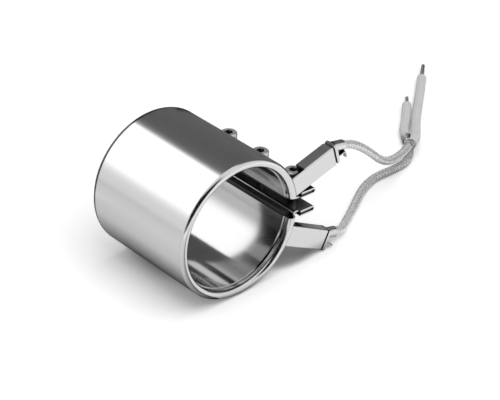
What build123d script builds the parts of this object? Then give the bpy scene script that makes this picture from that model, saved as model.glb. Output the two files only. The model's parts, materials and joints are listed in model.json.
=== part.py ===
"""A mica nozzle heater: a split band of polished steel with mica and a resistance winding inside.

The origin is the centre of the bore at mid-length. +Y runs along the bore, +Z is up, and the split
faces +X. The band lies on its side, as it comes to rest, on the floor at z = -outer_radius.
"""
from build123d import *
import math
import os

os.makedirs("parts", exist_ok=True)

# The band
bore_diameter = 40.0
band_length = 43.0
layer_gap = 0.05
liner_thick = 0.4
inner_mica_thick = 0.45
ribbon_thick = 0.15
card_thick = 0.55
outer_mica_thick = 0.5
sheet_thick = 0.5

# The rolled edges, which hold the liner's swaged ends
lip_recess = 0.25
lip_length = 1.0
liner_end_gap = 0.1
swage_length = 0.5
mica_end_gap = 0.1

# The split, which points a little below the horizontal
split_angle = -3.0
liner_slot = 7.0
mica_slot = 5.0

# The clamping flanges: sheet folded round a stiffening bar
flange_gap = 4.4
flange_inset = 0.5
flange_reach = 7.5
bar_thick = 0.9
bar_end_gap = 0.5
bend_radius = 0.4
hem_clearance = 1.6

# The clamp screws, their washers and nuts
screw_diameter = 3.0
screw_length = 14.0
screw_from_band = 4.9
screw_from_housing = 3.3
screw_from_end = 4.0
screw_count = 3
screw_hole_clearance = 0.2
head_diameter = 5.5
head_height = 3.0
socket_across_flats = 2.5
socket_depth = 1.4
washer_diameter = 6.0
washer_thick = 0.5
nut_across_flats = 5.5
nut_height = 2.4
nut_chamfer = 0.35
seat_gap = 0.02

# The winding: straight turns on both faces of the mica card
turn_angle = 15.0
ribbon_width = 2.0
card_edge_gap = 0.05

# The two terminals
upper_terminal_angle = 15.0
lower_terminal_angle = -28.5
upper_tail_angle = -12.0
lower_tail_angle = -16.0
housing_width = 7.0
housing_depth = 4.6
housing_reach = 16.5
housing_wall = 0.4
housing_corner = 0.6
housing_inset = 0.4
notch_reach = 5.0
notch_floor = -0.6
foot_width = 4.8
foot_length = 4.5
slip_gap = 0.05
clip_reach = 1.8
clip_overlap = 2.5
clip_groove = 0.8
clip_rise = 2.2
tail_length = 4.0
tail_offset = 1.7
tail_wall = 0.4
tail_slot = 0.6
tail_clearance = 0.12
ear_width = 1.5
ear_wall = 0.4
ear_reach = 3.0
ear_place = -1.1
upper_ear_drop = 2.6
lower_ear_drop = 0.6
wrap_wall = 0.3
wrap_start = 0.9
strap_width = 1.8
strap_thick = 0.25
strap_foot = 5.0
strap_clearance = 0.5
crimp_width = 2.5
crimp_depth = 1.4
crimp_wall = 0.25
crimp_length = 5.0
crimp_grip = 2.2
insulation_run = 1.6

# The leads
lead_diameter = 2.8
core_diameter = 1.8
conductor_diameter = 0.8
sleeve_diameter = 3.4
ferrule_diameter = 3.6
ferrule_length = 2.6
tip_diameter = 1.4
upper_tip_length = 9.5
lower_tip_length = 5.5

# Radii through the wall, from the bore outwards
bore_radius = bore_diameter / 2
liner_outer = bore_radius + liner_thick
inner_mica_inner = liner_outer + layer_gap
inner_mica_outer = inner_mica_inner + inner_mica_thick
inner_turn_inner = inner_mica_outer + layer_gap
inner_turn_outer = inner_turn_inner + ribbon_thick
card_inner = inner_turn_outer + layer_gap
card_outer = card_inner + card_thick
outer_turn_inner = card_outer + layer_gap
outer_turn_outer = outer_turn_inner + ribbon_thick
outer_mica_inner = outer_turn_outer + layer_gap
outer_mica_outer = outer_mica_inner + outer_mica_thick
sheath_inner = outer_mica_outer + layer_gap
outer_radius = sheath_inner + sheet_thick

# Places along the bore, from mid-length outwards
lip_inner = bore_radius + lip_recess
fold_radius = (outer_radius - lip_inner) / 2
fold_centre = (outer_radius + lip_inner) / 2
barrel_half = band_length / 2 - fold_radius
lip_start = barrel_half - lip_length
swage_end = lip_start - liner_end_gap
swage_start = swage_end - swage_length
mica_half = swage_start - liner_thick / 2 - mica_end_gap
card_half = mica_half - card_edge_gap - ribbon_thick

# The terminal's frame: x outwards, y along the bore, z towards the band's top
housing_front = -band_length / 2 + housing_inset
housing_y = housing_front + housing_depth / 2
housing_back = housing_front + housing_depth
housing_end = outer_radius + housing_reach
clip_end = housing_end + clip_reach
rise_start = clip_end - clip_overlap - clip_rise
insulation_start = rise_start - insulation_run
crimp_start = insulation_start - seat_gap - crimp_length
floor = -outer_radius

# The split's frame: x outwards, z across the gap
flange_length = band_length - 2 * flange_inset
flange_thick = 2 * sheet_thick + bar_thick + 2 * layer_gap
flange_tip = outer_radius + flange_reach
hem_centre = flange_tip - flange_thick / 2
hem_start = outer_radius + hem_clearance
bar_start = hem_start + bar_end_gap
flange_low = flange_gap / 2
flange_top = flange_low + flange_thick
screw_x = outer_radius + screw_from_band
first_screw = housing_back + screw_from_housing
last_screw = flange_length / 2 - screw_from_end
screw_pitch = (last_screw - first_screw) / (screw_count - 1)
screw_places = [first_screw + i * screw_pitch for i in range(screw_count)]

# What differs between the two terminals
terminal_angles = {"upper": upper_terminal_angle, "lower": lower_terminal_angle}
tail_angles = {"upper": upper_tail_angle, "lower": lower_tail_angle}
ear_drops = {"upper": upper_ear_drop, "lower": lower_ear_drop}
tip_lengths = {"upper": upper_tip_length, "lower": lower_tip_length}


def turned(shape, degrees):
    """Swings a shape about the bore axis, from +X towards +Z."""
    return Rot(0, -degrees, 0) * shape


def plug(radius, length):
    """A plain round bar along the bore axis."""
    return extrude(Plane.XZ * Circle(radius), amount=length / 2, both=True)


def shell(inner, outer, length):
    """A plain tube along the bore axis."""
    ring = Circle(outer) - Circle(inner)
    return extrude(Plane.XZ * ring, amount=length / 2, both=True)


def split_block(width, length=2 * band_length):
    """The block that a slot of this width takes out of a tube at the split."""
    reach = 2 * outer_radius
    block = Pos(reach / 2, 0, 0) * Box(reach, length, width)
    return turned(block, split_angle)


def save(name, shape):
    """Writes one node."""
    export_step(shape, "parts/" + name + ".step")


def liner():
    """The inner sheet, with both ends swaged out under the rolled edges."""
    swage = lip_recess + sheet_thick + layer_gap
    end = barrel_half - layer_gap
    line = [
        (bore_radius, -swage_start),
        (bore_radius, swage_start),
        (bore_radius + swage, swage_end),
        (bore_radius + swage, end),
        (liner_outer + swage, end),
        (liner_outer + swage, swage_end - liner_thick / 2),
        (liner_outer, swage_start - liner_thick / 2),
        (liner_outer, -swage_start + liner_thick / 2),
        (liner_outer + swage, -swage_end + liner_thick / 2),
        (liner_outer + swage, -end),
        (bore_radius + swage, -end),
        (bore_radius + swage, -swage_end),
    ]
    profile = make_face(Polyline(*line, close=True))
    return revolve(profile, Axis.Y) - split_block(liner_slot)


def mica_sheet(inner, outer):
    """One rolled mica sheet."""
    return shell(inner, outer, 2 * mica_half) - split_block(mica_slot)


def outer_mica():
    """The outer mica sheet, notched for the two terminal straps."""
    sheet = mica_sheet(outer_mica_inner, outer_mica_outer)
    end = housing_y + strap_foot + strap_clearance
    length = end + band_length / 2
    notch = Pos(outer_mica_inner, end - length / 2, 0) * Box(
        outer_radius / 4, length, strap_width + strap_clearance
    )
    for angle in terminal_angles.values():
        sheet -= turned(notch, angle)
    return sheet


def sector(inner, outer, start, stop, low, high):
    """A piece of tube between two angles in degrees and two places along the bore."""
    half = (stop - start) / 2
    wedge = make_face(
        Polyline(
            (0, 0),
            (2 * outer * math.cos(math.radians(half)), 2 * outer * math.sin(math.radians(half))),
            (2 * outer * math.cos(math.radians(half)), -2 * outer * math.sin(math.radians(half))),
            close=True,
        )
    )
    section = (Circle(outer) - Circle(inner)) & wedge
    piece = extrude(Plane.XZ * section, amount=(high - low) / 2, both=True)
    return turned(Pos(0, (low + high) / 2, 0) * piece, start + half)


def winding():
    """The resistance ribbon, wound round the card from one terminal to the other."""
    first = terminal_angles["upper"]
    last = terminal_angles["lower"] + 360
    pitch = (last - first) / round((last - first) / turn_angle)
    count = round((last - first) / pitch)
    half = math.degrees(ribbon_width / 2 / card_outer)
    edge = card_half + card_edge_gap
    pieces = []
    for i in range(count + 1):
        angle = first + i * pitch
        pieces.append(sector(outer_turn_inner, outer_turn_outer, angle - half, angle + half, -mica_half, mica_half))
        if i == count:
            break
        middle = angle + pitch / 2
        end = angle + pitch
        pieces.append(sector(inner_turn_inner, inner_turn_outer, middle - half, middle + half, -mica_half, mica_half))
        pieces.append(sector(inner_turn_inner, outer_turn_outer, angle - half, middle + half, edge, mica_half))
        pieces.append(sector(inner_turn_inner, outer_turn_outer, middle - half, end + half, -mica_half, -edge))
    return pieces[0].fuse(*pieces[1:])


def card():
    """The mica card that carries the winding."""
    return shell(card_inner, card_outer, 2 * card_half) - split_block(mica_slot)


def rectangle(x0, x1, z0, z1):
    """A rectangle in the split's section."""
    return Pos((x0 + x1) / 2, (z0 + z1) / 2) * Rectangle(x1 - x0, z1 - z0)


def flange_section(side, start):
    """One folded flange in section, from start outwards; side is 1 above the gap and -1 below."""
    low = rectangle(start, hem_centre, flange_low, flange_low + sheet_thick)
    top = rectangle(hem_start, hem_centre, flange_top - sheet_thick, flange_top)
    middle = Pos(hem_centre, (flange_low + flange_top) / 2)
    ring = middle * (Circle(flange_thick / 2) - Circle(flange_thick / 2 - sheet_thick))
    fold = ring & rectangle(hem_centre, flange_tip, flange_low, flange_top)
    section = low + top + fold
    return section if side > 0 else mirror(section, Plane.XZ)


def barrel_section():
    """The sheath's wall in section, bent outwards into the two flanges."""
    inside = sheath_inner + sheet_thick / 5
    section = Circle(outer_radius) - Circle(sheath_inner)
    section -= rectangle(0, 2 * outer_radius, -flange_low, flange_low)
    section += rectangle(inside, hem_centre, flange_low, flange_low + sheet_thick)
    section += rectangle(inside, hem_centre, -flange_low - sheet_thick, -flange_low)
    for side in (1, -1):
        height = flange_low + sheet_thick
        hollow = (math.sqrt(outer_radius**2 - height**2), side * height, 0)
        section = fillet(section.vertices().sort_by_distance(hollow)[0], bend_radius)
        crown = (math.sqrt(sheath_inner**2 - flange_low**2), side * flange_low, 0)
        section = fillet(section.vertices().sort_by_distance(crown)[0], bend_radius + sheet_thick)
    return section


def rolled_edge():
    """The edge at the +Y end: rolled in over the liner's end, with a lip along the bore."""
    ring = Pos(fold_centre, barrel_half) * (Circle(fold_radius) - Circle(fold_radius - sheet_thick))
    roll = ring & (Pos(fold_centre, barrel_half + fold_radius / 2) * Rectangle(3 * fold_radius, fold_radius))
    lip = Pos(lip_inner + sheet_thick / 2, barrel_half - lip_length / 2) * Rectangle(sheet_thick, lip_length)
    root = Pos(outer_radius - sheet_thick / 2, barrel_half) * Rectangle(sheet_thick, sheet_thick)
    edge = revolve(roll + lip + root, Axis.Y)
    return edge - split_block(liner_slot)


def strap_hole():
    """The hole in the sheath that a terminal strap passes through."""
    return Pos(outer_radius, housing_y, 0) * Box(
        outer_radius / 4, housing_depth / 2, strap_width + 2 * strap_clearance
    )


def outer_sheath():
    """The outer sheet: barrel, two folded flanges and two rolled edges, all one piece."""
    edge = rolled_edge()
    sheath = extrude(Plane.XZ * barrel_section(), amount=barrel_half, both=True)
    for side in (1, -1):
        flange = extrude(Plane.XZ * flange_section(side, hem_start), amount=flange_length / 2, both=True)
        sheath += flange
    sheath = turned(sheath, split_angle) + edge + mirror(edge, Plane.XZ)
    for y in screw_places:
        hole = Pos(screw_x, y, 0) * Cylinder(screw_diameter / 2 + screw_hole_clearance, 4 * flange_top)
        sheath -= turned(hole, split_angle)
    for angle in terminal_angles.values():
        sheath -= turned(strap_hole(), angle)
    return sheath


def clamp_bar(side):
    """The stiffening bar inside one folded flange."""
    length = flange_length - 2 * bar_end_gap
    height = (flange_low + flange_top) / 2
    bar = Pos((bar_start + hem_centre) / 2, 0, height) * Box(hem_centre - bar_start, length, bar_thick)
    for y in screw_places:
        bar -= Pos(screw_x, y, height) * Cylinder(screw_diameter / 2 + screw_hole_clearance, 2 * bar_thick)
    bar = bar if side > 0 else mirror(bar, Plane.XY)
    return turned(bar, split_angle)


def screws():
    """The socket-head clamp screws, one solid each."""
    seat = flange_top + washer_thick + 2 * seat_gap
    head = Pos(0, 0, seat + head_height / 2) * Cylinder(head_diameter / 2, head_height)
    head = chamfer(head.edges().group_by(Axis.Z)[-1], head_height / 10)
    socket = extrude(RegularPolygon(socket_across_flats / 2, 6, major_radius=False), socket_depth)
    head -= Pos(0, 0, seat + head_height - socket_depth) * socket
    shank = Pos(0, 0, seat - screw_length / 2) * Cylinder(screw_diameter / 2, screw_length)
    shank = chamfer(shank.edges().group_by(Axis.Z)[0], screw_diameter / 10)
    screw = head + shank
    return [turned(Pos(screw_x, y, 0) * screw, split_angle) for y in screw_places]


def washers():
    """The washer under each screw head."""
    ring = Cylinder(washer_diameter / 2, washer_thick) - Cylinder(
        screw_diameter / 2 + screw_hole_clearance, washer_thick
    )
    height = flange_top + seat_gap + washer_thick / 2
    return [turned(Pos(screw_x, y, height) * ring, split_angle) for y in screw_places]


def nuts():
    """The hexagon nut under the lower flange on each screw."""
    body = extrude(RegularPolygon(nut_across_flats / 2, 6, major_radius=False), nut_height)
    corner = nut_across_flats / math.sqrt(3)
    blank = Pos(0, 0, nut_height / 2) * Cylinder(corner, nut_height)
    body &= chamfer(blank.edges().filter_by(GeomType.CIRCLE), nut_chamfer / 2, nut_chamfer)
    body -= Pos(0, 0, nut_height / 2) * Cylinder(screw_diameter / 2 + seat_gap, 2 * nut_height)
    body = Rot(0, 0, 30) * body
    low = -flange_top - seat_gap - nut_height
    return [turned(Pos(screw_x, y, low) * body, split_angle) for y in screw_places]


def box_tube(depth, width, corner, start, stop, wall=None):
    """A rounded rectangular bar or tube along x, centred on the terminal's axis."""
    section = RectangleRounded(depth, width, corner)
    if wall:
        section -= RectangleRounded(depth - 2 * wall, width - 2 * wall, max(corner - wall, wall / 2))
    return Pos(start, housing_y, 0) * extrude(Plane.YZ * section, stop - start)


def root_notch():
    """The notch at the root of a housing's top and back, beside the first screw's head."""
    x0, x1 = bore_radius, outer_radius + notch_reach
    y0, y1 = housing_front + housing_wall, housing_back + housing_wall
    z0, z1 = notch_floor, housing_width
    return Pos((x0 + x1) / 2, (y0 + y1) / 2, (z0 + z1) / 2) * Box(x1 - x0, y1 - y0, z1 - z0)


def housing(angle):
    """The folded terminal box, cut to the band and notched, with a foot welded behind it."""
    tube = box_tube(housing_depth, housing_width, housing_corner, bore_radius, housing_end, housing_wall)
    band = plug(outer_radius + slip_gap, band_length + 2 * slip_gap)
    band = fillet(band.edges().filter_by(GeomType.CIRCLE), fold_radius + slip_gap)
    tube -= band
    tube -= root_notch()
    foot = shell(outer_radius + slip_gap, outer_radius + slip_gap + housing_wall, 2 * band_length)
    length = foot_length + housing_wall
    foot &= Pos(outer_radius, housing_back - housing_wall + length / 2, 0) * Box(
        outer_radius / 2, length, foot_width
    )
    return turned(tube + foot, angle)


def tail_place(angle, tail):
    """The plane at the tail's root: its normal runs along the tail."""
    bend = math.radians(tail - angle)
    root = (clip_end, housing_y, tail_offset)
    return Plane(root, x_dir=(0, 1, 0), z_dir=(math.cos(bend), 0, math.sin(bend)))


def lead_line(angle, tail, start):
    """The middle of the lead inside the terminal, from start to the tail's end."""
    bend = math.radians(tail - angle)
    stop = (
        clip_end + tail_length * math.cos(bend), housing_y, tail_offset + tail_length * math.sin(bend)
    )
    rise = (rise_start, housing_y, 0)
    root = (clip_end, housing_y, tail_offset)
    return FilletPolyline((start, housing_y, 0), rise, root, stop, radius=core_diameter)


def ear(drop):
    """The clip's second ear, left standing out beside the tail with its tip bent down."""
    shelf_end = clip_end + ear_reach
    y = housing_front + ear_width / 2
    start = clip_end - housing_wall
    shelf = Pos((start + shelf_end) / 2, y, ear_place) * Box(shelf_end - start, ear_width, ear_wall)
    tip = Pos(shelf_end - ear_wall / 2, y, ear_place + ear_wall / 2 - drop / 2) * Box(ear_wall, ear_width, drop)
    bent = shelf + tip
    top = bent.edges().filter_by(Axis.Y).sort_by_distance((shelf_end, y, ear_place + ear_wall / 2))[0]
    return fillet(top, ear_wall)


def end_clip(angle, tail, drop):
    """The cap in the housing's end, with a tail crimped round the lead and a second ear."""
    depth = housing_depth - 2 * housing_wall - 2 * slip_gap
    width = housing_width - 2 * housing_wall - 2 * slip_gap
    corner = housing_corner - housing_wall - slip_gap
    start = housing_end - clip_overlap
    cap = box_tube(depth, width, corner, start, clip_end - housing_wall)
    cap += box_tube(housing_depth, housing_width, housing_corner, housing_end + clip_groove, clip_end)
    bore = lead_diameter / 2
    place = tail_place(angle, tail)
    cap += place * (Pos(0, 0, (tail_length - tail_wall) / 2) * Cylinder(bore + tail_wall, tail_length + tail_wall))
    cap -= box_tube(
        depth - 2 * housing_wall, width - 2 * housing_wall, corner / 2, start, clip_end - housing_wall
    )
    cap -= swept(lead_line(angle, tail, insulation_start), core_diameter / 2 + tail_clearance)
    cap -= place * (Pos(0, -bore, tail_length / 2 + tail_wall) * Box(tail_slot, 2 * bore, tail_length))
    return turned(cap + ear(drop), angle)


def swept(line, radius, bore=0):
    """A round rod or tube along a line."""
    place = Plane(line @ 0, z_dir=line % 0)
    section = Circle(radius) - Circle(bore) if bore else Circle(radius)
    return sweep(place * section, line)


def strap(angle):
    """The flat connector from the winding up into the housing, bent to lie on the ribbon."""
    low = outer_turn_outer + slip_gap / 2
    high = crimp_start + crimp_grip
    riser = Pos((low + high) / 2, housing_y, 0) * Box(high - low, strap_thick, strap_width)
    foot = Pos(low + strap_thick / 2, housing_y + strap_foot / 2 - strap_thick / 2, 0) * Box(
        strap_thick, strap_foot, strap_width
    )
    return turned(riser + foot, angle)


def crimp(angle):
    """The flat crimp that joins the strap to the lead's conductor."""
    stop = crimp_start + crimp_length
    tube = box_tube(crimp_depth, crimp_width, crimp_depth / 3, crimp_start, stop, crimp_wall)
    return turned(tube, angle)


def wrap(angle):
    """The insulating liner of the housing."""
    depth = housing_depth - 2 * housing_wall - 2 * slip_gap
    width = housing_width - 2 * housing_wall - 2 * slip_gap
    start = outer_radius + wrap_start
    stop = housing_end - clip_overlap - slip_gap
    tube = box_tube(depth, width, housing_corner - housing_wall - slip_gap, start, stop, wrap_wall)
    return turned(tube - root_notch(), angle)


def conductor(angle, tail):
    """The bare conductor inside the terminal, from the crimp to the tail's end."""
    start = crimp_start + crimp_grip + seat_gap
    return turned(swept(lead_line(angle, tail, start), conductor_diameter / 2), angle)


def insulation(angle, tail):
    """The glass insulation of the conductor inside the terminal."""
    line = lead_line(angle, tail, insulation_start)
    return turned(swept(line, core_diameter / 2, conductor_diameter / 2 + slip_gap), angle)


def lead_start(name):
    """The end of a lead's tail, and the first point of its route straight out of it."""
    angle = math.radians(terminal_angles[name])
    tail = math.radians(tail_angles[name])
    along = Vector(math.cos(tail), 0, math.sin(tail))
    x = clip_end * math.cos(angle) - tail_offset * math.sin(angle)
    z = clip_end * math.sin(angle) + tail_offset * math.cos(angle)
    root = Vector(x, housing_y, z)
    return [root + along * tail_length, root + along * (tail_length + exit_run)]


# Each lead's route from its tail: braid, then ferrule and sleeve, then bare tip
exit_run = 3.5
sleeve_run = 4.0
braid_floor = floor + lead_diameter / 2
ferrule_floor = floor + ferrule_diameter / 2
sleeve_floor = floor + sleeve_diameter / 2
braid_routes = {
    "upper": [
        (53.6, -17.4, 6.0),
        (60.3, -15.0, 0.1),
        (67.3, -11.8, -6.4),
        (74.2, -8.4, -11.6),
        (80.8, -5.6, -14.8),
        (87.3, -3.1, -16.4),
        (93.5, -0.3, -17.1),
    ],
    "lower": [
        (48.6, -15.6, braid_floor),
        (55.0, -12.1, braid_floor),
        (61.8, -7.9, braid_floor),
        (68.9, -3.8, braid_floor),
        (76.3, -1.7, braid_floor),
        (84.0, -2.4, braid_floor),
        (91.6, -2.0, braid_floor),
        (97.5, 2.4, ferrule_floor),
        (100.8, 7.2, ferrule_floor),
    ],
}
sleeve_routes = {
    "upper": [
        (104.9, 7.3, -19.3),
        (112.0, 14.2, -21.0),
        (120.4, 21.4, sleeve_floor),
        (128.4, 28.0, sleeve_floor),
        (137.0, 35.4, sleeve_floor),
    ],
    "lower": [
        (108.1, 15.5, sleeve_floor),
        (113.0, 19.7, sleeve_floor),
        (118.4, 24.8, sleeve_floor),
    ],
}


def corner_radii(points):
    """The arc at each corner: 0.45 of the shorter run over the tangent of half the turn."""
    radii = []
    for before, here, after in zip(points, points[1:], points[2:]):
        run_in = here - before
        run_out = after - here
        half = math.radians(run_in.get_angle(run_out)) / 2
        radii.append(0.45 * min(run_in.length, run_out.length) / math.tan(half))
    return radii


def cord(points, diameter, name):
    """A round tube along a route of straight runs joined by tangent arcs."""
    points = [Vector(p) for p in points]
    radii = corner_radii(points)
    line = FilletPolyline(*points, radius=radii)
    tube = swept(line, diameter / 2)
    section = math.pi * diameter**2 / 4
    print(name, "length %.1f" % line.length, "volume / (section x length) %.4f" % (tube.volume / section / line.length))
    print("  radii", ["%.1f" % r for r in radii])
    return tube


def rod(start, end, diameter):
    """A straight round rod between two points."""
    place = Plane(start, z_dir=end - start)
    return place * (Pos(0, 0, (end - start).length / 2) * Cylinder(diameter / 2, (end - start).length))


def lead(name):
    """One lead's braid, ferrule, sleeve and bare tip, face to face."""
    braid = lead_start(name) + [Vector(p) for p in braid_routes[name]]
    along = (braid[-1] - braid[-2]).normalized()
    mouth = braid[-1] + along * ferrule_length
    sleeve = [mouth, mouth + along * sleeve_run] + [Vector(p) for p in sleeve_routes[name]]
    onward = (sleeve[-1] - sleeve[-2]).normalized()
    tip = sleeve[-1] + onward * tip_lengths[name]
    return {
        "lead_" + name: cord(braid, lead_diameter, "lead_" + name),
        "braid_ferrule_" + name: rod(braid[-1], sleeve[0], ferrule_diameter),
        "lead_sleeve_" + name: cord(sleeve, sleeve_diameter, "lead_sleeve_" + name),
        "wire_tip_" + name: rod(sleeve[-1], tip, tip_diameter),
    }


save("outer_sheath", outer_sheath())
save("inner_liner", liner())
save("inner_mica", mica_sheet(inner_mica_inner, inner_mica_outer))
save("outer_mica", outer_mica())
save("element_card", card())
save("resistance_ribbon", winding())
save("clamp_bar_upper", clamp_bar(1))
save("clamp_bar_lower", clamp_bar(-1))
save("clamp_screws", Compound(children=screws()))
save("clamp_washers", Compound(children=washers()))
save("clamp_nuts", Compound(children=nuts()))
for side_name, terminal_angle in terminal_angles.items():
    tail_angle = tail_angles[side_name]
    save("terminal_housing_" + side_name, housing(terminal_angle))
    save("end_clip_" + side_name, end_clip(terminal_angle, tail_angle, ear_drops[side_name]))
    save("housing_wrap_" + side_name, wrap(terminal_angle))
    save("terminal_strap_" + side_name, strap(terminal_angle))
    save("terminal_crimp_" + side_name, crimp(terminal_angle))
    save("conductor_" + side_name, conductor(terminal_angle, tail_angle))
    save("core_insulation_" + side_name, insulation(terminal_angle, tail_angle))
    for node, solid in lead(side_name).items():
        save(node, solid)
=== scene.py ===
"""The looks of a mica nozzle heater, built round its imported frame: leads, sleeves, finishes, studio."""
import json
import math

import bpy
from mathutils import Matrix, Vector


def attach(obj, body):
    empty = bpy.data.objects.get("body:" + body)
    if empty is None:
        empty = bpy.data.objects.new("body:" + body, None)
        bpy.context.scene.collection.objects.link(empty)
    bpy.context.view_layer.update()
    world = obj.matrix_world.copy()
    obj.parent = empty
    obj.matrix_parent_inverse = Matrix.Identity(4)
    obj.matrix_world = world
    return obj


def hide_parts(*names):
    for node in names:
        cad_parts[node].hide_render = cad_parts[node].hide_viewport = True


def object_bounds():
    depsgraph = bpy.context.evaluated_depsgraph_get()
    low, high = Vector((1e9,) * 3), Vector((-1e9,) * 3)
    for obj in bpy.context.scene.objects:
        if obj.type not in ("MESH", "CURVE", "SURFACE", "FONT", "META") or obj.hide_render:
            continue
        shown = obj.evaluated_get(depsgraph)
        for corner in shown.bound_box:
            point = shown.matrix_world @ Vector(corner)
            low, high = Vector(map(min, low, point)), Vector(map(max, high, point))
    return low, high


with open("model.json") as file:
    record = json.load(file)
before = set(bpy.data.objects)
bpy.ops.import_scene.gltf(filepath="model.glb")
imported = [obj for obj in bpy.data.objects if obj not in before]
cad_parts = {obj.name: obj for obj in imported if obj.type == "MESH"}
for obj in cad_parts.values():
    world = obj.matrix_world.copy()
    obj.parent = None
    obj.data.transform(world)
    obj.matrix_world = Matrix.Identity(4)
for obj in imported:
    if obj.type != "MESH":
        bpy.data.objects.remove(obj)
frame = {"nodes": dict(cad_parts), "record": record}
cad_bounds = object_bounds()
nodes = frame["nodes"]
mm = 0.001

# The camera, in degrees and metres, with its lens and sensor in millimetres
view_azimuth = -41.4
view_elevation = 32.6
view_distance = 0.552
view_right = 0.0167
view_up = 0.0006
view_lens = 130.6
view_sensor = 36.0

# The ferrules, in millimetres; the lip and the waist's width are shares of the length, and the end is
# a share of the radius
ferrule_diameter = 3.6
ferrule_length = 2.6
ferrule_lip = 0.16
ferrule_end = 0.88
waist_depth = 0.14
waist_width = 0.16

# The leads and the control points of their routes, in millimetres
core_diameter = 2.2
braid_overlap = 0.3
braid_routes = {
    "upper": [
        (43.37, -18.8, 11.5),
        (46.79, -18.8, 10.77),
        (53.6, -17.4, 6.0),
        (60.3, -15.0, 0.1),
        (67.3, -11.8, -6.4),
        (74.2, -8.4, -11.6),
        (80.8, -5.6, -14.8),
        (87.3, -3.1, -16.4),
        (93.5, -0.3, -17.1),
    ],
    "lower": [
        (40.95, -18.8, -19.32),
        (44.32, -18.8, -20.28),
        (48.6, -15.6, -21.6),
        (55.0, -12.1, -21.6),
        (61.8, -7.9, -21.6),
        (68.9, -3.8, -21.6),
        (76.3, -1.7, -21.6),
        (84.0, -2.4, -21.6),
        (91.6, -2.0, -21.6),
        (97.5, 2.4, -21.2),
        (100.8, 7.2, -21.2),
    ],
}
sleeve_routes = {
    "upper": [
        (95.86, 0.76, -17.37),
        (99.48, 2.4, -17.78),
        (104.9, 7.3, -19.3),
        (112.0, 14.2, -21.0),
        (120.4, 21.4, -21.3),
        (128.4, 28.0, -21.3),
        (137.0, 35.4, -21.3),
    ],
    "lower": [
        (102.27, 9.34, -21.2),
        (104.54, 12.64, -21.2),
        (108.1, 15.5, -21.3),
        (113.0, 19.7, -21.3),
        (118.4, 24.8, -21.3),
    ],
}
tip_ends = {"upper": (144.2, 41.6, -21.3), "lower": (122.4, 28.58, -21.3)}

# The braid of the leads and the weave of the sleeves, in millimetres: carriers each way, the wires or
# yarns in each and their pitch, the lay, the mesh's step, the radius, how far they rise and fall, and
# the width and thickness of one
lead_braid = {
    "carriers": 6,
    "wires": 3,
    "pitch": 0.3,
    "lay": 8.5,
    "step": 0.25,
    "radius": 1.15,
    "lift": 0.13,
    "width": 0.28,
    "thick": 0.24,
}
sleeve_weave = {
    "carriers": 14,
    "wires": 1,
    "pitch": 0.0,
    "lay": 9.0,
    "step": 0.3,
    "radius": 1.59,
    "lift": 0.05,
    "width": 0.54,
    "thick": 0.12,
}

# The outline of one wire or yarn, in shares of its width and thickness
strand_section = [(-0.5, 0.0), (-0.3, 0.5), (0.3, 0.5), (0.5, 0.0), (0.0, -0.5)]

# Painted shade in a metal's gaps: the shares of open sky between which it darkens, the darkest value,
# and how far the polished steel looks for a gap, in metres
painted_shade_sky = (0.42, 0.92)
painted_shade_value = 0.012
painted_shade_reach = 0.007

# The shades on the floor, under the barrel and under the lower box: middle and half size in metres,
# and the darkest value
floor_shades = [((0.005, 0.008), (0.0215, 0.028), 0.1), ((0.025, -0.015), (0.014, 0.0075), 0.35)]

# A painted shade line along the fold at the rear edge: place and width in metres, the shares of the
# width between which it fades, and what it leaves of the brightness
painted_fold_place = 0.0202
painted_fold_width = 0.0008
painted_fold_fade = (0.3, 0.7)
painted_fold_value = 0.12

# The stranded tip: its strands, in millimetres, and how finely they are built
tip_strands = 7
strand_diameter = 0.47
strand_lay = 5.0
strand_sides = 8
tip_rings = 40
tip_steps = 10

# The studio is in metres, degrees and watts; azimuth 0 is +Y and grows towards +X. The floor's half
# size, its glow by the distance from the middle, how its shades fade in sizes of their ellipses, and
# the strength of the world
floor_size = 0.5
floor_glow = {"From_Min": 0.15, "From_Max": 0.45, "To_Min": 0.2, "To_Max": 0.9}
shade_fade = {"From_Min": 0.45, "From_Max": 1.0, "To_Max": 0.97}
world_light = 0.42

# Soft boxes, which gloss doesn't show: place, width, height and power
lights = {
    "key": ((-0.2358, -0.6479, 0.5785), 0.8, 0.5, 0.6),
    "top": ((0.0, -0.3, 1.0), 1.0, 1.0, 8),
}

# Cards that only gloss shows, bent round the part: middle and span of the azimuth, low and high
# elevation, distance and brightness
bright_span = (-20, 62, 0, 56, 1.2)
bright_values = (1.0, 2.2)
bright_fade = (8, 30)
dark_walls = {
    "dark_wall": (60, 100, -4, 60, 0.36, 0.19),
    "dark_back": (0, 60, -5, 30, 0.34, 0.02),
    "dark_front": (219, 98, 3, 56, 1.4, 0.01),
}

# Cards just over the floor that only gloss shows, painted shade of the floor round the part in the metal's
# reflections: a sector with its middle, span, near and far reach and brightness, and rectangles with
# their x range, y range and brightness at both ends of x
card_gap = 0.0002
dark_sector = (53.5, 107, 0.06, 0.36, 0.16)
floor_patches = {
    "back_floor": ((-0.055, 0), (0.078, 0.3), (0.02, 0.02)),
    "foot_floor": ((-0.034, -0.008), (-0.15, 0.062), (0.82, 0.1)),
    "grey_floor_near": ((-0.07, -0.034), (-0.15, 0.062), (0.95, 0.82)),
    "grey_floor_far": ((-0.6, -0.07), (-0.15, 0.5), (0.95, 0.95)),
}

# A small dark screen that stands behind the bore: x range, y, top and brightness
screen_span = (0.01, 0.056)
screen_place = 0.06
screen_top = 0.02
screen_value = 0.01


def material(name, colour, metallic=0.0, roughness=0.5):
    """A new material, with its shader and its node tree."""
    made = bpy.data.materials.new(name)
    made.use_nodes = True
    shader = made.node_tree.nodes["Principled BSDF"]
    shader.inputs["Base Color"].default_value = (*colour, 1)
    shader.inputs["Metallic"].default_value = metallic
    shader.inputs["Roughness"].default_value = roughness
    return made, shader, made.node_tree


def grey(value):
    """A neutral colour."""
    return (value, value, value)


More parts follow.
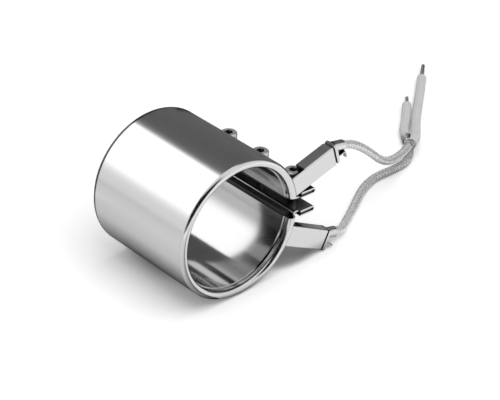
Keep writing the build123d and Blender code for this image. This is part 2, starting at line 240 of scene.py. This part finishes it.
def add(tree, kind, **inputs):
    """A new node with some of its inputs set; spaces in an input's name are written as underscores."""
    node = tree.nodes.new(kind)
    for key, value in inputs.items():
        node.inputs[key.replace("_", " ")].default_value = value
    return node


def object_noise(tree, scale, detail=2.0, stretch=(1, 1, 1)):
    """Noise in the part's own coordinates, in waves per metre, stretched along an axis."""
    place = tree.nodes.new("ShaderNodeTexCoord")
    mapping = add(tree, "ShaderNodeMapping", Scale=stretch)
    noise = add(tree, "ShaderNodeTexNoise", Scale=scale, Detail=detail)
    tree.links.new(place.outputs["Object"], mapping.inputs["Vector"])
    tree.links.new(mapping.outputs["Vector"], noise.inputs["Vector"])
    return noise


def spread(tree, source, low, high):
    """Maps a 0 to 1 value to low to high."""
    span = add(tree, "ShaderNodeMapRange", To_Min=low, To_Max=high)
    tree.links.new(source, span.inputs["Value"])
    return span.outputs["Result"]


def multiply(tree, first, second):
    """The product of two values."""
    product = tree.nodes.new("ShaderNodeMath")
    product.operation = "MULTIPLY"
    tree.links.new(first, product.inputs[0])
    tree.links.new(second, product.inputs[1])
    return product.outputs[0]


def bump(tree, shader, height, strength, distance):
    """Adds a bump from a height value."""
    node = add(tree, "ShaderNodeBump", Strength=strength, Distance=distance)
    tree.links.new(height, node.inputs["Height"])
    tree.links.new(node.outputs["Normal"], shader.inputs["Normal"])


def painted_crevice_shade(tree, value, reach, darkest=painted_shade_value):
    """The metal's brightness with painted shade: lower in narrow gaps, where little light comes in."""
    open_sky = add(tree, "ShaderNodeAmbientOcclusion", Distance=reach)
    low, high = painted_shade_sky
    shade = add(tree, "ShaderNodeMapRange", From_Min=low, From_Max=high, To_Min=darkest, To_Max=value)
    tree.links.new(open_sky.outputs["AO"], shade.inputs["Value"])
    return shade.outputs["Result"]


def painted_fold_shade(tree, brightness):
    """Painted shade: lowers a brightness along the fold where the barrel's rear edge begins to roll."""
    place = tree.nodes.new("ShaderNodeNewGeometry")
    split = tree.nodes.new("ShaderNodeSeparateXYZ")
    away = tree.nodes.new("ShaderNodeMath")
    away.operation = "SUBTRACT"
    away.inputs[1].default_value = painted_fold_place
    far = tree.nodes.new("ShaderNodeMath")
    far.operation = "ABSOLUTE"
    near, edge = (painted_fold_width * share for share in painted_fold_fade)
    keep = add(tree, "ShaderNodeMapRange", From_Min=near, From_Max=edge, To_Min=painted_fold_value)
    keep.interpolation_type = "SMOOTHSTEP"
    tree.links.new(place.outputs["Position"], split.inputs["Vector"])
    tree.links.new(split.outputs["Y"], away.inputs[0])
    tree.links.new(away.outputs[0], far.inputs[0])
    tree.links.new(far.outputs[0], keep.inputs["Value"])
    return multiply(tree, keep.outputs["Result"], brightness)


def polished(name, value, low, high, stretch=(1, 0.05, 1)):
    """Polished sheet steel: fine rolling lines along the bore in its gloss, and a faint waviness."""
    made, shader, tree = material(name, grey(value), metallic=1.0)
    # Its brightness carries painted shade in narrow gaps
    brightness = painted_crevice_shade(tree, value, painted_shade_reach)
    # mirror_steel also gets a painted shade line along the rear fold
    if name == "mirror_steel":
        brightness = painted_fold_shade(tree, brightness)
    tree.links.new(brightness, shader.inputs["Base Color"])
    lines = object_noise(tree, 900, 3, stretch)
    tree.links.new(spread(tree, lines.outputs["Fac"], low, high), shader.inputs["Roughness"])
    waves = object_noise(tree, 60, 1, stretch)
    bump(tree, shader, waves.outputs["Fac"], 0.05, 0.0004)
    return made


def satin_metal(name, colour, low, high, scale=700, reach=None, darkest=painted_shade_value, metallic=1.0):
    """Plated or drawn metal with a fine mottle, and painted shade in its gaps where a reach is given.

    A metallic value below 1 makes it duller, as fine wire is.
    """
    made, shader, tree = material(name, colour, metallic=metallic)
    if reach:
        tree.links.new(painted_crevice_shade(tree, colour[0], reach, darkest), shader.inputs["Base Color"])
    mottle = object_noise(tree, scale, 4)
    tree.links.new(spread(tree, mottle.outputs["Fac"], low, high), shader.inputs["Roughness"])
    bump(tree, shader, mottle.outputs["Fac"], 0.1, 0.00005)
    return made


def mica_painted_dark():
    """Pressed mica with its own flaky grain, given a near-black brown as painted shade for the slot it shows
    in.
    """
    made, shader, tree = material("mica", (0.06, 0.05, 0.04), roughness=0.5)
    flakes = object_noise(tree, 500, 6)
    ramp = tree.nodes.new("ShaderNodeValToRGB")
    ramp.color_ramp.elements[0].color = (0.012, 0.01, 0.008, 1)
    ramp.color_ramp.elements[1].color = (0.07, 0.06, 0.05, 1)
    tree.links.new(flakes.outputs["Fac"], ramp.inputs["Fac"])
    tree.links.new(ramp.outputs["Color"], shader.inputs["Base Color"])
    bump(tree, shader, flakes.outputs["Fac"], 0.2, 0.0001)
    return made


def woven(name, dark, pale):
    """Glass yarn: fine filaments, with a little sheen."""
    made, shader, tree = material(name, grey(pale), roughness=0.75)
    fibres = object_noise(tree, 2500, 3)
    ramp = tree.nodes.new("ShaderNodeValToRGB")
    ramp.color_ramp.elements[0].color = (*grey(dark), 1)
    ramp.color_ramp.elements[1].color = (*grey(pale), 1)
    tree.links.new(fibres.outputs["Fac"], ramp.inputs["Fac"])
    tree.links.new(ramp.outputs["Color"], shader.inputs["Base Color"])
    bump(tree, shader, fibres.outputs["Fac"], 0.3, 0.00005)
    shader.inputs["Sheen Weight"].default_value = 0.2
    return made


# zinc_steel and steel_braid get painted shade in their gaps, where a reach is given
finishes = {
    "mirror_steel": polished("mirror_steel", 0.63, 0.16, 0.22),
    "liner_steel": polished("liner_steel", 0.46, 0.1, 0.14),
    "zinc_steel": satin_metal("zinc_steel", grey(0.78), 0.4, 0.55, reach=0.002),
    "bar_steel": satin_metal("bar_steel", grey(0.3), 0.4, 0.6),
    "ribbon_alloy": satin_metal("ribbon_alloy", (0.5, 0.48, 0.44), 0.3, 0.45),
    "nickel_wire": satin_metal("nickel_wire", (0.7, 0.69, 0.66), 0.22, 0.4),
    "steel_braid": satin_metal("steel_braid", grey(0.92), 0.22, 0.34, 1500, 0.0005, 0.4, 0.6),
    "mica": mica_painted_dark(),
    "glass_fibre": woven("glass_fibre", 0.6, 0.86),
    "pale_sleeve": woven("pale_sleeve", 0.48, 0.72),
}


def piece(name, vertices, faces, slot, replaced=()):
    """A new smooth mesh piece, in millimetres, which rides on the part."""
    mesh = bpy.data.meshes.new(name)
    mesh.from_pydata([Vector(v) * mm for v in vertices], [], faces)
    mesh.update()
    mesh.shade_smooth()
    mesh.materials.append(finishes[slot])
    made = bpy.data.objects.new(name, mesh)
    bpy.context.scene.collection.objects.link(made)
    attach(made, "root")
    if replaced:
        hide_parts(*replaced)
    return made


def smooth_path(points, resolution=24):
    """The points of a NURBS spline with these control points, in millimetres."""
    curve = bpy.data.curves.new("route", "CURVE")
    curve.dimensions = "3D"
    spline = curve.splines.new("NURBS")
    spline.points.add(len(points) - 1)
    for target, point in zip(spline.points, points):
        target.co = (*point, 1)
    spline.order_u = 3
    spline.use_endpoint_u = True
    curve.resolution_u = resolution
    holder = bpy.data.objects.new("route", curve)
    bpy.context.scene.collection.objects.link(holder)
    mesh = bpy.data.meshes.new_from_object(holder)
    path = [v.co.copy() for v in mesh.vertices]
    bpy.data.objects.remove(holder)
    bpy.data.curves.remove(curve)
    bpy.data.meshes.remove(mesh)
    return path


class Route:
    """A path with its running length and a frame that turns as little as it can."""

    def __init__(self, points):
        self.points = points
        self.lengths = [0.0]
        for before, here in zip(points, points[1:]):
            self.lengths.append(self.lengths[-1] + (here - before).length)
        self.length = self.lengths[-1]
        side = Vector((0, 0, 1))
        self.frames = []
        for i in range(len(points)):
            ahead = points[min(i + 1, len(points) - 1)] - points[max(i - 1, 0)]
            along = ahead.normalized()
            side = (side - along * side.dot(along)).normalized()
            self.frames.append((along, side, along.cross(side)))

    def at(self, distance):
        """The point and frame at a distance from the start."""
        distance = min(max(distance, 0.0), self.length)
        low, high = 0, len(self.lengths) - 1
        while high - low > 1:
            middle = (low + high) // 2
            if self.lengths[middle] <= distance:
                low = middle
            else:
                high = middle
        share = (distance - self.lengths[low]) / (self.lengths[high] - self.lengths[low])
        point = self.points[low].lerp(self.points[high], share)
        first, second = self.frames[low], self.frames[high]
        along = first[0].lerp(second[0], share).normalized()
        side = first[1].lerp(second[1], share)
        side = (side - along * side.dot(along)).normalized()
        return point, along, side, along.cross(side)


def stitch(rings, closed=True, caps=True):
    """Faces that join rings of equal count, one after the other."""
    count = len(rings[0])
    faces = []
    for before, here in zip(rings, rings[1:]):
        for i in range(count if closed else count - 1):
            j = (i + 1) % count
            faces.append((before[i], before[j], here[j], here[i]))
    if caps:
        faces.append(tuple(reversed(rings[0])))
        faces.append(tuple(rings[-1]))
    return faces


def round_tube(route, start, stop, radius, sides=20, step=0.8):
    """Vertices and faces of a plain round rod along a route; radius may be a function of the distance."""
    size = radius if callable(radius) else lambda distance: radius
    count = max(2, math.ceil((stop - start) / step) + 1)
    vertices, rings = [], []
    for i in range(count):
        distance = start + (stop - start) * i / (count - 1)
        point, _, side, up = route.at(distance)
        ring = []
        for j in range(sides):
            angle = 2 * math.pi * j / sides
            ring.append(len(vertices))
            vertices.append(point + (side * math.cos(angle) + up * math.sin(angle)) * size(distance))
        rings.append(ring)
    return vertices, stitch(rings)


def merge(parts):
    """Joins lists of (vertices, faces)."""
    vertices, faces = [], []
    for some_vertices, some_faces in parts:
        offset = len(vertices)
        vertices.extend(some_vertices)
        faces.extend(tuple(i + offset for i in face) for face in some_faces)
    return vertices, faces


def wave(phase, squareness=2.2):
    """A soft square wave from -1 to 1."""
    return math.tanh(squareness * math.sin(phase)) / math.tanh(squareness)


def woven_strand(route, start, stop, braid, way, carrier, offset):
    """One wire or yarn of a braid, as a closed strip. It goes over two of the other way's and under two."""
    count = math.ceil((stop - start) / braid["step"]) + 1
    carriers, radius, lay = braid["carriers"], braid["radius"], braid["lay"]
    slope = 2 * math.pi * radius / lay
    vertices, rings = [], []
    for i in range(count):
        distance = start + (stop - start) * i / (count - 1)
        point, along, side, up = route.at(distance)
        turns = (distance - start) / lay
        met = 2 * carrier + way * 2 * carriers * turns
        height = radius + way * braid["lift"] * wave(math.pi / 2 * met + math.pi / 4)
        angle = 2 * math.pi * (way * turns + carrier / carriers) + offset / radius
        out = side * math.cos(angle) + up * math.sin(angle)
        tangent = (up * math.cos(angle) - side * math.sin(angle)) * way
        heading = (along + tangent * slope).normalized()
        across = heading.cross(out).normalized()
        middle = point + out * height
        ring = []
        for dx, dz in strand_section:
            ring.append(len(vertices))
            vertices.append(middle + across * (dx * braid["width"]) + out * (dz * braid["thick"]))
        rings.append(ring)
    return vertices, stitch(rings)


def woven_tube(route, start, stop, braid):
    """A tubular braid: carriers each way, each of some wires side by side."""
    parts = []
    for way in (1, -1):
        for carrier in range(braid["carriers"]):
            for wire in range(braid["wires"]):
                offset = (wire - (braid["wires"] - 1) / 2) * braid["pitch"]
                parts.append(woven_strand(route, start, stop, braid, way, carrier, offset))
    return merge(parts)


def stranded_tip(name, route):
    """The bare end: strands twisted round one in the middle."""
    parts = [round_tube(route, 0, route.length, strand_diameter / 2, strand_sides)]
    for i in range(tip_strands - 1):
        phase = 2 * math.pi * i / (tip_strands - 1)
        rings, vertices = [], []
        for k in range(tip_rings):
            distance = route.length * k / (tip_rings - 1)
            point, _, side, up = route.at(distance)
            angle = 2 * math.pi * distance / strand_lay + phase
            out = side * math.cos(angle) + up * math.sin(angle)
            middle = point + out * strand_diameter
            ring = []
            for j in range(strand_sides):
                turn = 2 * math.pi * j / strand_sides
                ring.append(len(vertices))
                vertices.append(
                    middle + (side * math.cos(turn) + up * math.sin(turn)) * strand_diameter / 2
                )
            rings.append(ring)
        parts.append((vertices, stitch(rings)))
    return piece("stranded_tip_" + name, *merge(parts), "nickel_wire", ["wire_tip_" + name])


def sleeve_piece(name, route, start, stop):
    """The woven sleeve over the insulated core."""
    weave = woven_tube(route, start, stop, sleeve_weave)
    lining_radius = sleeve_weave["radius"] - sleeve_weave["thick"] / 2
    lining = round_tube(route, start, stop, lining_radius, 24)
    return piece("woven_sleeve_" + name, *merge([weave, lining]), "pale_sleeve", ["lead_sleeve_" + name])


def ferrule_piece(name, route, start):
    """The ring where the braid ends, with rounded lips and a crimped waist."""
    def radius(distance):
        share = (distance - start) / ferrule_length
        lip = min(share, 1 - share) / ferrule_lip
        edge = math.sqrt(max(0.0, 1 - (1 - min(lip, 1.0)) ** 2))
        waist = waist_depth * math.exp(-((share - 0.5) / waist_width) ** 2)
        return ferrule_diameter / 2 * (ferrule_end + (1 - ferrule_end) * edge) - waist

    ring = round_tube(route, start, start + ferrule_length, radius, 32, 0.08)
    return piece("crimp_ring_" + name, *ring, "zinc_steel", ["braid_ferrule_" + name])


def lead(name):
    """One lead from its tail to its bare tip."""
    points = braid_routes[name] + sleeve_routes[name]
    route = Route(smooth_path(points))
    last = Vector(sleeve_routes[name][-1])
    tip_end = Vector(tip_ends[name])
    tip_route = Route([last.lerp(tip_end, i / tip_steps) for i in range(tip_steps + 1)])
    mouth = Vector(braid_routes[name][-1])
    distances = [(p - mouth).length for p in route.points]
    braid_stop = route.lengths[distances.index(min(distances))]
    weave = woven_tube(route, 0, braid_stop + braid_overlap, lead_braid)
    braid = piece("wire_braid_" + name, *weave, "steel_braid", ["lead_" + name])
    core = round_tube(route, 0, route.length, core_diameter / 2, 20)
    cord = piece("lead_core_" + name, *core, "glass_fibre")
    ring = ferrule_piece(name, route, braid_stop)
    sleeve = sleeve_piece(name, route, braid_stop + ferrule_length, route.length)
    tip = stranded_tip(name, tip_route)
    [p * mm for p in route.points]
    print("lead", name, "length %.1f" % route.length, "braid %.1f" % braid_stop)


def dress_nodes():
    """Gives each shown CAD node its finish."""
    for row in frame["record"]["subparts"]:
        node = nodes[row["node"]]
        node.data.materials.clear()
        node.data.materials.append(finishes[row["material_slot"]])


def area_light(name, place, target, width, height, power):
    """A soft box that faces its target."""
    lamp = bpy.data.lights.new(name, "AREA")
    lamp.shape = "RECTANGLE"
    lamp.size = width
    lamp.size_y = height
    lamp.energy = power
    made = bpy.data.objects.new(name, lamp)
    bpy.context.scene.collection.objects.link(made)
    made.location = place
    made.rotation_euler = (Vector(target) - Vector(place)).to_track_quat("-Z", "Y").to_euler()
    return made


def direction(azimuth, elevation):
    """The unit vector at an azimuth and elevation."""
    azimuth, elevation = math.radians(azimuth), math.radians(elevation)
    level = math.cos(elevation)
    return Vector((math.sin(azimuth) * level, math.cos(azimuth) * level, math.sin(elevation)))


def gloss_only(name, vertices, faces, shader_material):
    """A studio card that only the part's gloss shows."""
    mesh = bpy.data.meshes.new(name)
    mesh.from_pydata(vertices, [], faces)
    mesh.materials.append(shader_material)
    made = bpy.data.objects.new(name, mesh)
    bpy.context.scene.collection.objects.link(made)
    made.visible_camera = False
    made.visible_diffuse = False
    made.visible_shadow = False
    return made


def patch(columns, rows, place):
    """Vertices and faces of a grid; place gives the point at two shares from 0 to 1."""
    vertices = [place(i / columns, j / rows) for i in range(columns + 1) for j in range(rows + 1)]
    faces = []
    for i in range(columns):
        for j in range(rows):
            first = i * (rows + 1) + j
            faces.append((first, first + 1, first + rows + 2, first + rows + 1))
    return vertices, faces


def flat_grey(name, value):
    """The matt material of a card, with its shader and its node tree."""
    made, shader, tree = material(name, grey(value), roughness=1.0)
    shader.inputs["Specular IOR Level"].default_value = 0.0
    return made, shader, tree


def bent_sheet(azimuth, span, low, high, distance):
    """Vertices and faces of a sheet bent round the part between two elevations."""
    def place(across, up):
        turn = azimuth - span / 2 + span * across
        return direction(turn, low + (high - low) * up) * distance

    return patch(12, 6, place)


def wall_card(name, azimuth, span, low, high, distance, value):
    """A dark card bent round the part between two elevations."""
    made, _, _ = flat_grey(name, value)
    return gloss_only(name, *bent_sheet(azimuth, span, low, high, distance), made)


def floor_card(name, azimuth, span, near, far, value):
    """A dark sector of a ring that lies just over the floor."""
    height = cad_bounds[0][2] + card_gap

    def place(across, out):
        turn = math.radians(azimuth - span / 2 + span * across)
        reach = near + (far - near) * out
        return Vector((math.sin(turn) * reach, math.cos(turn) * reach, height))

    made, _, _ = flat_grey(name, value)
    return gloss_only(name, *patch(16, 2, place), made)


def floor_patch(name, x_range, y_range, values):
    """A darker rectangle just over the floor, whose brightness changes evenly along x."""
    height = cad_bounds[0][2] + card_gap
    left, right = x_range
    near, far = y_range
    corners = [(left, near, height), (right, near, height), (right, far, height), (left, far, height)]
    made, shader, tree = flat_grey(name, values[0])
    spot = tree.nodes.new("ShaderNodeNewGeometry")
    split = tree.nodes.new("ShaderNodeSeparateXYZ")
    shade = add(tree, "ShaderNodeMapRange", From_Min=left, From_Max=right, To_Min=values[0], To_Max=values[1])
    tree.links.new(spot.outputs["Position"], split.inputs["Vector"])
    tree.links.new(split.outputs["X"], shade.inputs["Value"])
    tree.links.new(shade.outputs["Result"], shader.inputs["Base Color"])
    return gloss_only(name, corners, [(0, 1, 2, 3)], made)


def bright_card(name):
    """A shining card, dim below one elevation and bright above another."""
    distance = bright_span[-1]
    start, stop = (math.sin(math.radians(elevation)) * distance for elevation in bright_fade)
    made_of = bpy.data.materials.new(name)
    made_of.use_nodes = True
    tree = made_of.node_tree
    tree.nodes.clear()
    spot = tree.nodes.new("ShaderNodeNewGeometry")
    split = tree.nodes.new("ShaderNodeSeparateXYZ")
    tree.links.new(spot.outputs["Position"], split.inputs["Vector"])
    dim, bright = bright_values
    fade = add(tree, "ShaderNodeMapRange", From_Min=start, From_Max=stop, To_Min=dim, To_Max=bright)
    fade.interpolation_type = "SMOOTHSTEP"
    tree.links.new(split.outputs["Z"], fade.inputs["Value"])
    glow = tree.nodes.new("ShaderNodeEmission")
    tree.links.new(fade.outputs["Result"], glow.inputs["Strength"])
    result = tree.nodes.new("ShaderNodeOutputMaterial")
    tree.links.new(glow.outputs["Emission"], result.inputs["Surface"])
    return gloss_only(name, *bent_sheet(*bright_span), made_of)


def dark_screen(name):
    """The small screen behind the bore, from the floor up."""
    bottom = cad_bounds[0][2] + 2 * card_gap
    left, right = screen_span
    corners = [(left, bottom), (right, bottom), (right, screen_top), (left, screen_top)]
    made, _, _ = flat_grey(name, screen_value)
    return gloss_only(name, [(x, screen_place, z) for x, z in corners], [(0, 1, 2, 3)], made)


def seen_rays(tree):
    """1 for rays that show a thing in the picture, in gloss or through glass, and 0 for the others."""
    rays = tree.nodes.new("ShaderNodeLightPath")
    seen = rays.outputs["Is Camera Ray"]
    for kind in ("Is Glossy Ray", "Is Transmission Ray"):
        either = tree.nodes.new("ShaderNodeMath")
        either.operation = "MAXIMUM"
        tree.links.new(seen, either.inputs[0])
        tree.links.new(rays.outputs[kind], either.inputs[1])
        seen = either.outputs[0]
    return seen


def distance_from(tree, middle, size):
    """How far a place lies from a point on the floor, in sizes of an ellipse round it."""
    place = tree.nodes.new("ShaderNodeNewGeometry")
    shift = (-middle[0] / size[0], -middle[1] / size[1], 0.0)
    shrink = add(tree, "ShaderNodeMapping", Location=shift, Scale=(1 / size[0], 1 / size[1], 0.0))
    away = tree.nodes.new("ShaderNodeVectorMath")
    away.operation = "LENGTH"
    tree.links.new(place.outputs["Position"], shrink.inputs["Vector"])
    tree.links.new(shrink.outputs["Vector"], away.inputs[0])
    return away.outputs["Value"]


def floor_finish():
    """White paper, shaded where the part stands on it; the picture shows it white far out."""
    made, shader, tree = material("floor", grey(0.9), roughness=0.9)
    shader.inputs["Emission Color"].default_value = (1, 1, 1, 1)
    # The floor's glow is painted light, weaker near the middle and under the painted shadows so that shade
    # stays round the part
    glow = add(tree, "ShaderNodeMapRange", **floor_glow)
    tree.links.new(distance_from(tree, (0, 0), (1, 1)), glow.inputs["Value"])
    shine = multiply(tree, glow.outputs["Result"], seen_rays(tree))
    colour = None
    for middle, size, darkest in floor_shades:
        shade = add(tree, "ShaderNodeMapRange", To_Min=darkest, **shade_fade)
        shade.interpolation_type = "SMOOTHSTEP"
        tree.links.new(distance_from(tree, middle, size), shade.inputs["Value"])
        colour = multiply(tree, colour, shade.outputs["Result"]) if colour else shade.outputs["Result"]
        shine = multiply(tree, shine, shade.outputs["Result"])
    tree.links.new(colour, shader.inputs["Base Color"])
    tree.links.new(shine, shader.inputs["Emission Strength"])
    return made


def lay_floor():
    """The floor under the part."""
    height = cad_bounds[0][2]
    mesh = bpy.data.meshes.new("floor")
    corners = [(-1, -1), (1, -1), (1, 1), (-1, 1)]
    mesh.from_pydata([(x * floor_size, y * floor_size, height) for x, y in corners], [], [(0, 1, 2, 3)])
    mesh.materials.append(floor_finish())
    floor = bpy.data.objects.new("floor", mesh)
    bpy.context.scene.collection.objects.link(floor)


def studio():
    """Floor, lights, cards and world."""
    scene = bpy.context.scene
    scene.view_settings.view_transform = "Standard"
    lay_floor()
    for name, (place, width, height, power) in lights.items():
        lamp = area_light(name, place, (0, 0, 0), width, height, power)
        lamp.visible_glossy = False
    bright_card("bright_wall")
    for name, span in dark_walls.items():
        wall_card(name, *span)
    # Floor cards that only gloss shows: painted shade of the floor round the part
    floor_card("dark_floor", *dark_sector)
    for name, span in floor_patches.items():
        floor_patch(name, *span)
    dark_screen("dark_screen")

    world = bpy.data.worlds.new("studio")
    scene.world = world
    world.use_nodes = True
    tree = world.node_tree
    background = tree.nodes["Background"]
    background.inputs["Color"].default_value = (1, 1, 1, 1)
    tree.links.new(spread(tree, seen_rays(tree), world_light, 1.0), background.inputs["Strength"])


def photo_camera():
    """The camera where the photograph was taken."""
    azimuth, elevation = math.radians(view_azimuth), math.radians(view_elevation)
    level = math.cos(elevation)
    back = Vector((math.sin(azimuth) * level, -math.cos(azimuth) * level, math.sin(elevation)))
    right = Vector((math.cos(azimuth), math.sin(azimuth), 0))
    up = back.cross(right)
    lens = bpy.data.cameras.new("camera")
    lens.lens = view_lens
    lens.sensor_width = view_sensor
    camera = bpy.data.objects.new("camera", lens)
    bpy.context.scene.collection.objects.link(camera)
    turn = Matrix((right, up, back)).transposed().to_4x4()
    place = back * view_distance + right * view_right + up * view_up
    camera.matrix_world = Matrix.Translation(place) @ turn
    bpy.context.scene.camera = camera


dress_nodes()
for side_name in ("upper", "lower"):
    lead(side_name)
studio()
photo_camera()
